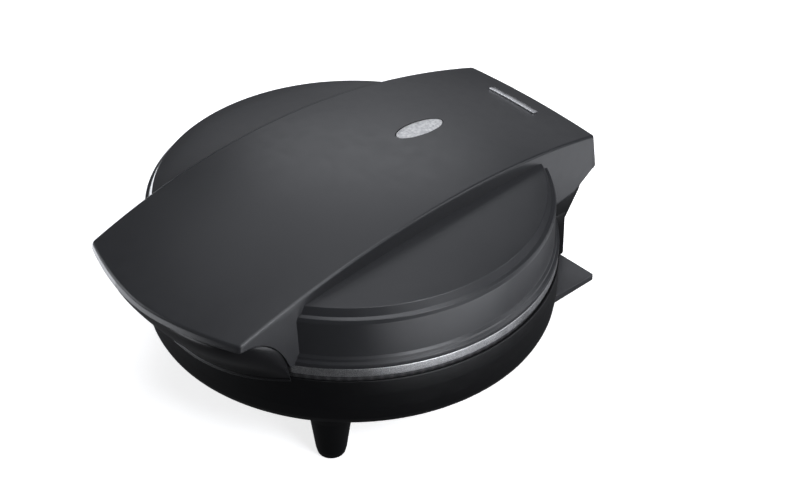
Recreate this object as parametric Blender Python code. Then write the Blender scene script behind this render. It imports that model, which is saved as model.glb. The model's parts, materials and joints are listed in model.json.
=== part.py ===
"""Electric donut maker: a round base and a hinged lid, each with a cast plate of seven ring moulds.

Frame: metres, +Z up, origin on the floor under the middle of the drum, handle towards -Y.
"""

import math

import bmesh
import bpy
from mathutils import Matrix, Vector

# Driving dimensions, in metres.
GAP = 0.0003                  # clearance between touching pieces
WALL = 0.0024                 # wall of the moulded shells
STEPS = 48                    # facets round a large turned body

BASE_RADIUS = 0.1006          # outside of the base rim
BASE_BOTTOM = 0.0275
BASE_FLOOR = 0.0299           # inside of the base's bottom
BASE_RIM = 0.0561
FOOT_CIRCLE = 0.0835
FOOT_ANGLE = math.radians(41.4)

PLATE_SPLIT = 0.0582          # plane where the two plates meet
PLATE_GAP = 0.0004
MOULD_PITCH = 0.059           # centre mould to outer mould
MOULD_RADIUS = 0.0175         # middle of the ring groove
MOULD_HALF_WIDTH = 0.010
MOULD_DEPTH = 0.0095
POD_RADIUS = 0.0290
POD_DEPTH = 0.0118

LID_BOTTOM = 0.0634
LID_RADIUS = 0.0981
LID_FLANGE = 0.1004
LID_RIDGE = 0.0869
TOP_RADIUS = 0.0939
TOP_EDGE = 0.0931
TOP_DOME = 0.0070

BAND_SPAN = 0.120             # length that the arch formulas are scaled by
BAND_TOP = 0.1059
BAND_WALL = 0.0026
BAND_FRONT = 0.1129           # front corners of the band
BAND_BOW = 0.0129             # how far the front edge bows out between them
BAND_BACK = 0.1232
BAND_FLARE = 0.04             # outward slope of the side walls
LIP_DRAFT = 0.0006
HOOD_DRAFT = 0.0018
HOOD_BOTTOM = 0.0628
HOOD_RISE = 0.38              # slope of the hood's lower edge behind HOOD_TURN
HOOD_TURN = 0.106
FIN_END = 0.0765              # where the front fins start to run down past the drum
HOOD_START = 0.0785
LIP_BOTTOM = 0.0846
SPLIT_START = 0.1080
SPLIT_REACH = 0.0235
SPLIT_FLOOR = 0.0500

CHIN_HALF_WIDTH = 0.0542
CHIN_RADIUS = BASE_RADIUS + GAP
CHIN_FRONT = 0.1215
CHIN_GAP = 0.0018
CHIN_SEAM = 0.0470
CHIN_SEAM_RISE = 0.0070

HINGE_Y = 0.110
HINGE_Z = 0.060
PIN_RADIUS = 0.0020
EAR_RADIUS = 0.0090
LUG_RADIUS = 0.0075
EAR_INNER = 0.0240
EAR_OUTER = 0.0395
LUG_INNER = 0.0140
LUG_OUTER = 0.0235

LAMP_Y = 0.045
LAMP_HALF = (0.0054, 0.0146)
TRIM_Y = 0.1095
TRIM_SIZE = (0.0310, 0.0030, 0.0007)
SCREW_RADIUS = 0.0016

BLOCK_HALF_WIDTH = 0.0400
BLOCK_BACK = 0.1085
BLOCK_LOW = 0.0208
BLOCK_TOP = 0.0470
CORD_HEIGHT = 0.0400
WINDER_HALF_WIDTH = 0.0622
WINDER_BACK = 0.1073
WINDER_LOW = 0.0170
WINDER_TOP = 0.0205
HEATER_RADIUS = 0.0470
HEATER_BAR = 0.0032
REFLECTOR_RADIUS = 0.0800
LOWER_REFLECTOR = 0.0364
UPPER_REFLECTOR = 0.0792


def clear_scene():
    for item in list(bpy.data.objects):
        bpy.data.objects.remove(item, do_unlink=True)


def material(name, colour, roughness, metallic=0.0):
    made = bpy.data.materials.new(name)
    made.use_nodes = True
    made.diffuse_color = (*colour, 1.0)
    shader = made.node_tree.nodes["Principled BSDF"]
    shader.inputs["Base Color"].default_value = (*colour, 1.0)
    shader.inputs["Roughness"].default_value = roughness
    shader.inputs["Metallic"].default_value = metallic
    return made


def finish_mesh(name, bm):
    bmesh.ops.recalc_face_normals(bm, faces=bm.faces)
    mesh = bpy.data.meshes.new(name)
    bm.to_mesh(mesh)
    bm.free()
    return mesh


def turned(name, profile, steps=STEPS, centres=((0.0, 0.0),)):
    """Body turned about Z from (radius, height) points, which end on the axis or close on themselves."""
    bm = bmesh.new()
    for cx, cy in centres:
        rings = []
        for radius, height in profile:
            count = steps if radius > 1e-6 else 1
            turns = [2.0 * math.pi * k / steps for k in range(count)]
            rings.append([bm.verts.new((cx + radius * math.cos(a), cy + radius * math.sin(a), height))
                          for a in turns])
        pairs = list(zip(rings, rings[1:]))
        if profile[0][0] > 1e-6:
            pairs.append((rings[-1], rings[0]))
        for lower, upper in pairs:
            for k in range(steps):
                n = (k + 1) % steps
                corners = (lower[k % len(lower)], lower[n % len(lower)],
                           upper[n % len(upper)], upper[k % len(upper)])
                corners = list(dict.fromkeys(corners))
                if len(corners) > 2:
                    bm.faces.new(corners)
    return finish_mesh(name, bm)


def cylinder(name, radius, low, high, steps=16, centres=((0.0, 0.0),)):
    return turned(name, [(0.0, low), (radius, low), (radius, high), (0.0, high)], steps, centres)


def prism(name, outline, low, high):
    """Outline in XY raised from low to high."""
    bm = bmesh.new()
    bottom = [bm.verts.new((x, y, low)) for x, y in outline]
    top = [bm.verts.new((x, y, high)) for x, y in outline]
    bm.faces.new(bottom)
    bm.faces.new(top)
    for k in range(len(outline)):
        n = (k + 1) % len(outline)
        bm.faces.new((bottom[k], bottom[n], top[n], top[k]))
    return finish_mesh(name, bm)


def box(name, low, high, bevel=0.0):
    outline = [(low[0], low[1]), (high[0], low[1]), (high[0], high[1]), (low[0], high[1])]
    mesh = prism(name, outline, low[2], high[2])
    if bevel:
        bm = bmesh.new()
        bm.from_mesh(mesh)
        bmesh.ops.bevel(bm, geom=bm.edges[:], offset=bevel, segments=1, affect="EDGES")
        bm.to_mesh(mesh)
        bm.free()
    return mesh


def merged(name, meshes):
    """One mesh that holds several separate closed bodies."""
    bm = bmesh.new()
    for mesh in meshes:
        bm.from_mesh(mesh)
    return finish_mesh(name, bm)


def turn_to_x(mesh, centre):
    """Stands a body that runs along Z along X instead, with its axis through centre."""
    mesh.transform(Matrix.Translation(centre) @ Matrix.Rotation(math.radians(90.0), 4, "Y"))
    return mesh


def turn_to_y(mesh, centre):
    mesh.transform(Matrix.Translation(centre) @ Matrix.Rotation(math.radians(-90.0), 4, "X"))
    return mesh


def grid_body(name, top, bottom):
    """Closed body between two grids of points of the same size."""
    bm = bmesh.new()
    rows, columns = len(top), len(top[0])
    upper = [[bm.verts.new(p) for p in row] for row in top]
    lower = [[bm.verts.new(p) for p in row] for row in bottom]
    for grid in (upper, lower):
        for i in range(rows - 1):
            for j in range(columns - 1):
                bm.faces.new((grid[i][j], grid[i][j + 1], grid[i + 1][j + 1], grid[i + 1][j]))
    border = [(0, j) for j in range(columns)] + [(i, columns - 1) for i in range(1, rows)]
    border += [(rows - 1, j) for j in range(columns - 2, -1, -1)] + [(i, 0) for i in range(rows - 2, 0, -1)]
    for (i, j), (k, m) in zip(border, border[1:] + border[:1]):
        bm.faces.new((upper[i][j], upper[k][m], lower[k][m], lower[i][j]))
    return finish_mesh(name, bm)


def tube(name, points, radius, sides=8):
    """Round bar along a path, with flat ends."""
    bm = bmesh.new()
    rings = []
    last = len(points) - 1
    for k, point in enumerate(points):
        along = (points[min(k + 1, last)] - points[max(k - 1, 0)]).normalized()
        side = along.cross(Vector((0.0, 0.0, 1.0))).normalized()
        up = side.cross(along)
        turns = [2.0 * math.pi * s / sides for s in range(sides)]
        rings.append([bm.verts.new(point + radius * (math.cos(a) * side + math.sin(a) * up)) for a in turns])
    for first, second in zip(rings, rings[1:]):
        for s in range(sides):
            n = (s + 1) % sides
            bm.faces.new((first[s], first[n], second[n], second[s]))
    bm.faces.new(rings[0])
    bm.faces.new(rings[-1])
    return finish_mesh(name, bm)


def add_part(name, mesh, finish, frame):
    """Places a mesh made in world coordinates under its body's empty."""
    part = bpy.data.objects.new(name, mesh)
    bpy.context.scene.collection.objects.link(part)
    mesh.materials.append(finish)
    mesh.shade_smooth()
    mesh.set_sharp_from_angle(angle=math.radians(32.0))
    part.parent = frame
    part.location = -frame.location
    return part


def shape(part, operation, mesh, name):
    """Unions a hidden tool body with the part, or cuts it away."""
    tool = bpy.data.objects.new(name, mesh)
    bpy.context.scene.collection.objects.link(tool)
    tool.hide_render = True
    tool.display_type = "WIRE"
    step = part.modifiers.new(name, "BOOLEAN")
    step.operation = operation
    step.object = tool
    step.solver = "EXACT"


def add_frame(name, location):
    frame = bpy.data.objects.new(name, None)
    frame.location = location
    bpy.context.scene.collection.objects.link(frame)
    return frame


# The band's surface and outline.

def band_half_width(y):
    t = y / BAND_SPAN
    return 0.0536 - 0.0048 * t - 0.0050 * t * t


def band_edge_height(y):
    t = y / BAND_SPAN
    return BAND_TOP + 0.0013 * t - 0.0186 * t * t


def band_crown(y):
    return 0.0030 - 0.0012 * y / BAND_SPAN


def band_height(x, y):
    across = min(abs(x) / band_half_width(y), 1.0)
    return band_edge_height(y) + band_crown(y) * (1.0 - across * across)


def band_front(across):
    return -BAND_FRONT - BAND_BOW * (1.0 - abs(across) ** 1.8)


def handle_split(y):
    """Height where the lid's handle ends and the base's begins: level at the lip, then a quarter ellipse."""
    back = max(0.0, min(1.0, (y + SPLIT_START) / SPLIT_REACH))
    return SPLIT_FLOOR + (LIP_BOTTOM - SPLIT_FLOOR) * math.sqrt(1.0 - back * back)


def band_lower_edge(y):
    """Lower edge of the band's side walls: handle, then inside the drum, then the hood."""
    if y < -FIN_END:
        return max(handle_split(y), LID_BOTTOM)
    if y < HOOD_START:
        return 0.090
    return HOOD_BOTTOM + HOOD_RISE * max(0.0, y - HOOD_TURN)


def dome_height(radius):
    return TOP_EDGE + TOP_DOME * (1.0 - (radius / TOP_RADIUS) ** 2)


def band_solid(name, inset, deeper):
    """The band as a block: inset from its outline and top, and reaching deeper below its lower edge."""
    stations = [-0.1129, -0.106, -0.101, -0.097, -0.094, -0.0915, -0.089, -0.087, -0.0767, -0.0763, -0.056,
                -0.030, 0.006, 0.020, 0.045, 0.065, 0.0783, 0.0787, 0.1060, 0.1150, 0.1232]
    rows = [(y - stations[0]) / (stations[-1] - stations[0]) for y in stations]
    columns = [k / 4.0 for k in range(-4, 5)]
    top, bottom = [], []
    for v in rows:
        upper, lower = [], []
        for u in columns:
            front = band_front(u) + inset
            y = front + v * (BAND_BACK - inset - front)
            half = band_half_width(y) - inset
            crest = band_edge_height(y) + band_crown(y) * (1.0 - u * u) - inset
            draft = {0.0: -LIP_DRAFT, 1.0: HOOD_DRAFT}.get(v, 0.0)
            foot = band_lower_edge(y + draft)
            flare = BAND_FLARE * (crest - foot)
            upper.append((u * half, y, crest))
            lower.append((u * (half + flare), y + draft, foot - deeper))
        top.append(upper)
        bottom.append(lower)
    return grid_body(name, top, bottom)


def drum_clearance():
    """Everything that the drum, its flange and the upper plate take up, with a running gap."""
    dome = [(TOP_RADIUS * k / 4.0, dome_height(TOP_RADIUS * k / 4.0) + GAP) for k in range(4, -1, -1)]
    side = [(0.0, 0.050), (LID_FLANGE + GAP, 0.050), (LID_FLANGE + GAP, 0.0683), (LID_RADIUS + GAP, 0.0690),
            (LID_RADIUS + GAP, LID_RIDGE), (TOP_RADIUS + 0.0029, 0.0912)]
    return turned("drum_clearance", side + dome)


def lug_outline():
    """Side view of a lid hinge lug, in (y, z): a knuckle with a web up to the hood."""
    arc = [math.radians(a) for a in range(-180, 1, 20)]
    knuckle = [(HINGE_Y + LUG_RADIUS * math.cos(a), HINGE_Z + LUG_RADIUS * math.sin(a)) for a in arc]
    return knuckle + [(0.1175, 0.0893), (0.1025, 0.0933)]


def ear_outline():
    """Side view of a base hinge ear, in (y, z)."""
    arc = [math.radians(a) for a in range(-30, 181, 21)]
    knuckle = [(HINGE_Y + EAR_RADIUS * math.cos(a), HINGE_Z + EAR_RADIUS * math.sin(a)) for a in arc]
    return [(0.0930, 0.0420), (BLOCK_BACK, 0.0420)] + knuckle


def side_plates(name, outline, inner, outer):
    """A pair of plates across X, mirrored, from a side view in (y, z)."""
    plates = []
    for low, high in ((inner, outer), (-outer, -inner)):
        mesh = prism(name, outline, low, high)
        mesh.transform(Matrix(((0, 0, 1, 0), (1, 0, 0, 0), (0, 1, 0, 0), (0, 0, 0, 1))))
        plates.append(mesh)
    return merged(name, plates)


def band_bosses():
    return [(sx * 0.032, sy * 0.030) for sx in (-1, 1) for sy in (-1, 1)]


def lid_band(finish, frame):
    part = add_part("lid_band", band_solid("lid_band", 0.0, 0.0), finish, frame)
    shape(part, "DIFFERENCE", band_solid("band_core", BAND_WALL, 0.004), "band_core")
    shape(part, "UNION", cylinder("band_boss", 0.0034, 0.0950, 0.1045, 12, band_bosses()), "band_boss")
    shape(part, "UNION", side_plates("lid_lugs", lug_outline(), LUG_INNER, LUG_OUTER), "lid_lugs")
    shape(part, "DIFFERENCE", drum_clearance(), "drum_space")
    ellipse = [((LAMP_HALF[0] + GAP) * math.cos(a), LAMP_Y + (LAMP_HALF[1] + GAP) * math.sin(a))
               for a in [2.0 * math.pi * k / 24 for k in range(24)]]
    shape(part, "DIFFERENCE", prism("lamp_hole", ellipse, 0.1000, 0.1120), "lamp_hole")
    shape(part, "DIFFERENCE", cylinder("boss_holes", 0.0017, 0.0940, 0.1030, 12, band_bosses()), "boss_holes")
    bore = turn_to_x(cylinder("lug_bore", PIN_RADIUS + GAP, -0.030, 0.030), (0.0, HINGE_Y, HINGE_Z))
    shape(part, "DIFFERENCE", bore, "lug_bore")


def lid_shell(finish, frame):
    outside = [(TOP_RADIUS * k / 4.0, dome_height(TOP_RADIUS * k / 4.0)) for k in range(5)]
    outside += [(0.0959, 0.0893), (0.0976, 0.0882), (LID_RADIUS, LID_RIDGE), (LID_RADIUS, 0.0686),
                (0.0993, 0.0676), (LID_FLANGE, 0.0656), (LID_FLANGE, LID_BOTTOM)]
    inside = [(0.0960, LID_BOTTOM), (0.0956, 0.0850), (0.0925, 0.0902)]
    inside += [(r, dome_height(r) - WALL) for r in (0.0620, 0.0310, 0.0)]
    part = add_part("lid_shell", turned("lid_shell", outside + inside), finish, frame)
    posts = [(0.0, MOULD_PITCH), (0.0, -MOULD_PITCH)]
    shape(part, "UNION", cylinder("lid_posts", 0.0045, 0.0802, 0.0960, 16, posts), "lid_posts")
    shape(part, "DIFFERENCE", cylinder("lid_post_holes", 0.0020, 0.0790, 0.1010, 12, posts), "lid_post_holes")
    holes = band_bosses() + [(0.0, LAMP_Y)]
    shape(part, "DIFFERENCE", cylinder("lid_holes", 0.0018, 0.0900, 0.1030, 12, holes), "lid_holes")


def handle_liner(finish, frame):
    """Cover under the lid's handle, between the side fins."""
    top, bottom = [], []
    for v in [k / 5.0 for k in range(6)]:
        upper, lower = [], []
        for u in [k / 4.0 for k in range(-4, 5)]:
            x = u * 0.0495
            front = -0.1086 - 0.0125 * (1.0 - abs(u) ** 1.8)
            back = -math.sqrt(0.1012 ** 2 - x * x)
            y = front + v * (back - front)
            upper.append((x, y, handle_split(y) + 0.0015))
            lower.append((x, y, handle_split(y)))
        top.append(upper)
        bottom.append(lower)
    add_part("handle_liner", grid_body("handle_liner", top, bottom), finish, frame)


def chin_solid(name, levels=5, points=16):
    """The base's half of the handle: it grows out of the base wall and flares up to the lid's handle."""
    root = math.sqrt(CHIN_RADIUS ** 2 - CHIN_HALF_WIDTH ** 2)
    power = 2.0 / 2.8
    bm = bmesh.new()
    columns, inner = [], []
    for k in range(points + 1):
        cosine = math.cos(math.pi * k / points)
        sine = math.sin(math.pi * k / points) if 0 < k < points else 0.0
        x = CHIN_HALF_WIDTH * math.copysign(abs(cosine) ** power, cosine)
        front = root + (CHIN_FRONT - root) * sine ** power
        wall = math.sqrt(CHIN_RADIUS ** 2 - x * x)
        seam = CHIN_SEAM + CHIN_SEAM_RISE * (x / CHIN_HALF_WIDTH) ** 2
        crest = handle_split(-front) - CHIN_GAP
        column = []
        for n in range(levels + 1):
            f = n / levels
            flare = f * f * (3.0 - 2.0 * f)
            column.append(bm.verts.new((x, -wall - (front - wall) * flare, seam + (crest - seam) * f)))
        columns.append(column)
        if 0 < k < points:
            inner.append(bm.verts.new((x, -wall, handle_split(-wall) - CHIN_GAP)))
    inner = [columns[0][-1]] + inner + [columns[-1][-1]]
    for k in range(points):
        for n in range(levels):
            bm.faces.new((columns[k][n], columns[k + 1][n], columns[k + 1][n + 1], columns[k][n + 1]))
        top = (columns[k][-1], columns[k + 1][-1], inner[k + 1], inner[k])
        bm.faces.new(list(dict.fromkeys(top)))
    for k in range(1, points - 1):
        bm.faces.new((columns[k][0], columns[k + 1][0], inner[k + 1], inner[k]))
    bm.faces.new([columns[1][0], inner[1]] + columns[0][::-1])
    bm.faces.new([columns[-2][0]] + columns[-1] + [inner[-2]])
    return finish_mesh(name, bm)


def lower_handle(finish, frame):
    add_part("lower_handle", chin_solid("lower_handle"), finish, frame)


def feet_centres():
    x, y = FOOT_CIRCLE * math.sin(FOOT_ANGLE), FOOT_CIRCLE * math.cos(FOOT_ANGLE)
    return [(x, -y), (-x, -y), (-x, y), (x, y)]


def lower_screw_centres():
    turns = [math.radians(a) for a in (30.0, 150.0, 270.0)]
    return [(MOULD_PITCH * math.cos(a), MOULD_PITCH * math.sin(a)) for a in turns]


def winder_screw_centres():
    return [(-0.030, 0.085), (0.030, 0.085)]


def base_shell(finish, frame):
    outside = [(0.0, BASE_BOTTOM), (0.0905, BASE_BOTTOM), (0.0946, 0.0279), (0.0976, 0.0294),
               (0.0993, 0.0330), (0.1002, 0.0390), (BASE_RADIUS, 0.0480), (BASE_RADIUS, BASE_RIM)]
    inside = [(0.0993, BASE_RIM), (0.0993, 0.0540), (0.0966, 0.0540), (0.0960, 0.0370), (0.0925, 0.0309),
              (0.0890, BASE_FLOOR), (0.0, BASE_FLOOR)]
    part = add_part("base_shell", turned("base_shell", outside + inside), finish, frame)
    posts = cylinder("base_posts", 0.0045, 0.0290, LOWER_REFLECTOR - GAP, 16, lower_screw_centres())
    shape(part, "UNION", posts, "base_posts")
    holes = [cylinder("h1", 0.0020, 0.0250, 0.0380, 12, lower_screw_centres()),
             cylinder("h2", 0.0020, 0.0250, 0.0380, 12, winder_screw_centres()),
             cylinder("h3", 0.0033, 0.0250, 0.0380, 12, feet_centres()),
             turn_to_y(cylinder("h4", 0.0045, 0.0, 0.020), (0.0, 0.090, CORD_HEIGHT))]
    shape(part, "DIFFERENCE", merged("base_holes", holes), "base_holes")


def foot(name, centre, finish, frame):
    top = BASE_BOTTOM - GAP
    profile = [(0.0, 0.0), (0.0054, 0.0), (0.0067, 0.0012), (0.0073, 0.0040), (0.0097, 0.0240), (0.0105, top),
               (0.0030, top), (0.0030, 0.0325), (0.0, 0.0325)]
    add_part(name, turned(name, profile, 16, [centre]), finish, frame)


def hinge_block(finish, frame):
    """Block on the back of the base with the two hinge ears and the cord entry."""
    low = (-BLOCK_HALF_WIDTH, 0.0900, BLOCK_LOW)
    high = (BLOCK_HALF_WIDTH, BLOCK_BACK, BLOCK_TOP)
    part = add_part("hinge_block", box("hinge_block", low, high), finish, frame)
    shape(part, "UNION", side_plates("ears", ear_outline(), EAR_INNER, EAR_OUTER), "ears")
    space = cylinder("wall_space", BASE_RADIUS + GAP, BASE_BOTTOM - GAP, 0.0580, STEPS)
    shape(part, "DIFFERENCE", space, "wall_space")
    groove = box("groove_space", (-0.050, 0.080, 0.010), (0.050, 0.1015, BASE_BOTTOM))
    shape(part, "DIFFERENCE", groove, "groove_space")
    bores = [turn_to_x(cylinder("b1", PIN_RADIUS + GAP, -0.045, 0.045), (0.0, HINGE_Y, HINGE_Z)),
             turn_to_y(cylinder("b2", 0.0063, 0.0, 0.020), (0.0, 0.095, CORD_HEIGHT))]
    shape(part, "DIFFERENCE", merged("block_bores", bores), "block_bores")


def cord_gland(finish, frame):
    profile = [(0.0040, 0.0), (0.0060, 0.0), (0.0060, 0.0057), (0.0080, 0.0057), (0.0080, 0.0072),
               (0.0070, 0.0080), (0.0040, 0.0080)]
    ring = turn_to_y(turned("cord_gland", profile, 20), (0.0, 0.1031, CORD_HEIGHT))
    add_part("cord_gland", ring, finish, frame)


def cord_winder(finish, frame):
    """Plate under the back of the base, spaced from it by a core that the cord winds round."""
    corner = 0.0012
    half = [(0.0, WINDER_BACK), (WINDER_HALF_WIDTH - corner, WINDER_BACK),
            (WINDER_HALF_WIDTH, WINDER_BACK - corner), (WINDER_HALF_WIDTH, 0.0790),
            (WINDER_HALF_WIDTH - 0.0040, 0.0750), (0.0460, 0.0750), (0.0420, 0.0710), (0.0420, 0.0660),
            (0.0380, 0.0620), (0.0, 0.0620)]
    outline = half + [(-x, y) for x, y in half[-2:0:-1]]
    part = add_part("cord_winder", prism("cord_winder", outline, WINDER_LOW, WINDER_TOP), finish, frame)
    ends = []
    for side in (1, -1):
        for k in range(7):
            a = math.radians(-90.0 + 30.0 * k) if side > 0 else math.radians(90.0 + 30.0 * k)
            ends.append((side * 0.038 + 0.007 * math.cos(a), 0.085 + 0.007 * math.sin(a)))
    shape(part, "UNION", prism("winder_core", ends, 0.0180, BASE_BOTTOM - GAP), "winder_core")
    holes = cylinder("winder_holes", 0.0020, 0.0100, 0.0320, 12, winder_screw_centres())
    shape(part, "DIFFERENCE", holes, "winder_holes")


def screw(name, centre, head, tip, finish, frame, radius=SCREW_RADIUS):
    """Pan-head screw whose shank runs from under its head to its tip, up or down."""
    way = 1.0 if tip > head else -1.0
    profile = [(0.0, head - way * 0.0016), (0.0026, head - way * 0.0014), (0.0032, head - way * 0.0006),
               (0.0032, head), (radius, head), (radius, tip - way * 0.001), (0.0, tip)]
    add_part(name, turned(name, profile, 12, [centre]), finish, frame)


def mould_centres():
    outer = [math.radians(30.0 + 60.0 * k) for k in range(6)]
    return [(0.0, 0.0)] + [(MOULD_PITCH * math.cos(a), MOULD_PITCH * math.sin(a)) for a in outer]


def mould_cutters(name, face, way):
    """Ring grooves of half-round section that sink into a plate from its face."""
    turns = [math.radians(a) for a in (180, 216, 252, 288, 324, 360)]
    section = [(MOULD_RADIUS + MOULD_HALF_WIDTH * math.cos(a), face - way * MOULD_DEPTH * math.sin(a))
               for a in turns]
    beyond = face - way * 0.003
    cap = [(MOULD_RADIUS + MOULD_HALF_WIDTH, beyond), (MOULD_RADIUS - MOULD_HALF_WIDTH, beyond)]
    return turned(name, section + cap, 24, mould_centres())


def cast_plate(name, face, way, flange, screw_holes, finish, frame):
    """Cast plate: a flanged disc, a pod behind each mould, and the ring grooves in its face."""
    part = add_part(name, turned(name, flange), finish, frame)
    low, high = sorted((face + way * 0.002, face + way * POD_DEPTH))
    shape(part, "UNION", cylinder(name + "_pods", POD_RADIUS, low, high, 20, mould_centres()), name + "_pods")
    shape(part, "DIFFERENCE", mould_cutters(name + "_rings", face, way), name + "_rings")
    low, high = sorted((face + way * 0.004, face + way * 0.020))
    shape(part, "DIFFERENCE", cylinder(name + "_holes", 0.0019, low, high, 12, screw_holes), name + "_holes")


def heater(name, height, finish, frame):
    """Tubular element: a ring that opens at the back, with both ends turned towards the hinge."""
    turns = [math.radians(a) for a in range(102, 439, 16)]
    ring = [Vector((HEATER_RADIUS * math.cos(a), HEATER_RADIUS * math.sin(a), height)) for a in turns]
    tails = [Vector((ring[0].x, 0.053, height)), Vector((ring[0].x, 0.062, height))]
    mirrored = [Vector((ring[-1].x, p.y, height)) for p in tails]
    add_part(name, tube(name, tails[::-1] + ring + mirrored, HEATER_BAR), finish, frame)


def reflector(name, low, holes, finish, frame):
    profile = [(0.012, low), (REFLECTOR_RADIUS, low), (REFLECTOR_RADIUS, low + 0.0006), (0.012, low + 0.0006)]
    part = add_part(name, turned(name, profile, 24), finish, frame)
    cutters = cylinder(name + "_holes", 0.0022, low - 0.002, low + 0.003, 12, holes)
    shape(part, "DIFFERENCE", cutters, name + "_holes")


def spacer(name, centre, low, high, finish, frame):
    profile = [(0.0022, low), (0.0040, low), (0.0040, high), (0.0022, high)]
    add_part(name, turned(name, profile, 16, [centre]), finish, frame)


def fuse(name, y, height, finish, frame):
    profile = [(0.0, -0.0080), (0.0016, -0.0080), (0.0020, -0.0070), (0.0020, 0.0070), (0.0016, 0.0080),
               (0.0, 0.0080)]
    add_part(name, turn_to_x(turned(name, profile, 12), (0.0, y, height)), finish, frame)


def hinge_pins(finish, frame):
    for name, centre in (("hinge_pin_left", -0.0268), ("hinge_pin_right", 0.0268)):
        pin = cylinder(name, PIN_RADIUS, -0.0118, 0.0118)
        add_part(name, turn_to_x(pin, (centre, HINGE_Y, HINGE_Z)), finish, frame)


def tilt_onto_band(mesh, y, lift):
    """Lays a flat piece, made at the origin, on the band's centreline at y."""
    step = 0.001
    rise = (band_height(0.0, y + step) - band_height(0.0, y - step)) / (2.0 * step)
    place = Matrix.Translation((0.0, y, band_height(0.0, y) + lift))
    mesh.transform(place @ Matrix.Rotation(math.atan(rise), 4, "X"))
    return mesh


def lamps(plastic, lens, red, green, frame):
    dome = [(0.0, -0.0016), (1.0, -0.0016), (1.0, 0.0), (0.7, 0.0006), (0.35, 0.0009), (0.0, 0.0010)]
    window = turned("lamp_lens", dome, 24)
    window.transform(Matrix.Diagonal((LAMP_HALF[0], LAMP_HALF[1], 1.0, 1.0)))
    add_part("lamp_lens", tilt_onto_band(window, LAMP_Y, -0.0002), lens, frame)
    holder = box("lamp_holder", (-0.0070, 0.0310, 0.0997), (0.0070, 0.0590, 0.1013), 0.0004)
    add_part("lamp_holder", holder, plastic, frame)
    for name, y, finish in (("power_lamp", 0.039, red), ("ready_lamp", 0.051, green)):
        profile = [(0.0, 0.1016), (0.0020, 0.1016), (0.0020, 0.1026), (0.0012, 0.1034), (0.0, 0.1037)]
        add_part(name, turned(name, profile, 12, [(0.0, y)]), finish, frame)


def trim_strip(finish, frame):
    length, width, height = TRIM_SIZE
    bar = box("trim_strip", (-length / 2.0, -width / 2.0, 0.0), (length / 2.0, width / 2.0, height), 0.0002)
    add_part("trim_strip", tilt_onto_band(bar, TRIM_Y, GAP), finish, frame)


def leads(finish, frame):
    for name, side in (("lead_left", -1), ("lead_right", 1)):
        points = [Vector((side * x, y, z)) for x, y, z in
                  ((0.0098, 0.0623, 0.0427), (0.0096, 0.0660, 0.0425), (0.0090, 0.0710, 0.0414),
                   (0.0084, 0.0755, 0.0398), (0.0082, 0.0797, 0.0392))]
        add_part(name, tube(name, points, 0.0013, 8), finish, frame)


def terminal_block(finish, frame):
    block = box("terminal_block", (-0.0140, 0.0800, BASE_FLOOR + 0.0006), (0.0140, 0.0890, 0.0418), 0.0006)
    part = add_part("terminal_block", block, finish, frame)
    centres = [(x, 0.0845) for x in (-0.009, 0.0, 0.009)]
    holes = cylinder("terminal_holes", 0.0018, 0.0380, 0.0430, 12, centres)
    shape(part, "DIFFERENCE", holes, "terminal_holes")


def thermostat(finish, frame):
    profile = [(0.0, 0.0385), (0.0050, 0.0385), (0.0052, 0.0410), (0.0083, 0.0412), (0.0085, 0.0460),
               (0.0, 0.0460)]
    add_part("thermostat", turned("thermostat", profile, 20), finish, frame)


def build_base(frame, base, rubber, coated, steel, bright, ceramic, wire):
    base_shell(base, frame)
    lower_handle(base, frame)
    hinge_block(base, frame)
    cord_gland(rubber, frame)
    hinge_pins(steel, frame)
    cord_winder(base, frame)
    for k, centre in enumerate(winder_screw_centres(), 1):
        screw(f"winder_screw_{k}", centre, WINDER_LOW - GAP, 0.0325, steel, frame)
    for name, centre in zip(("front_right", "front_left", "rear_left", "rear_right"), feet_centres()):
        foot("foot_" + name, centre, base, frame)

    face = PLATE_SPLIT - PLATE_GAP / 2.0
    flange = [(0.0, face), (0.0989, face), (0.0989, 0.0543), (0.0955, 0.0543), (0.0950, 0.0538),
              (0.0, 0.0538)]
    cast_plate("lower_plate", face, -1.0, flange, lower_screw_centres(), coated, frame)
    back = face - POD_DEPTH
    heater("lower_heater", back - GAP - HEATER_BAR, steel, frame)
    reflector("lower_reflector", LOWER_REFLECTOR, lower_screw_centres(), bright, frame)
    for k, centre in enumerate(lower_screw_centres(), 1):
        spacer(f"lower_spacer_{k}", centre, LOWER_REFLECTOR + 0.0009, back - GAP, steel, frame)
        screw(f"lower_screw_{k}", centre, BASE_BOTTOM - GAP, 0.0520, steel, frame)
    thermostat(bright, frame)
    fuse("lower_fuse", 0.022, back - 0.0024, ceramic, frame)
    terminal_block(ceramic, frame)
    leads(wire, frame)


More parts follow.
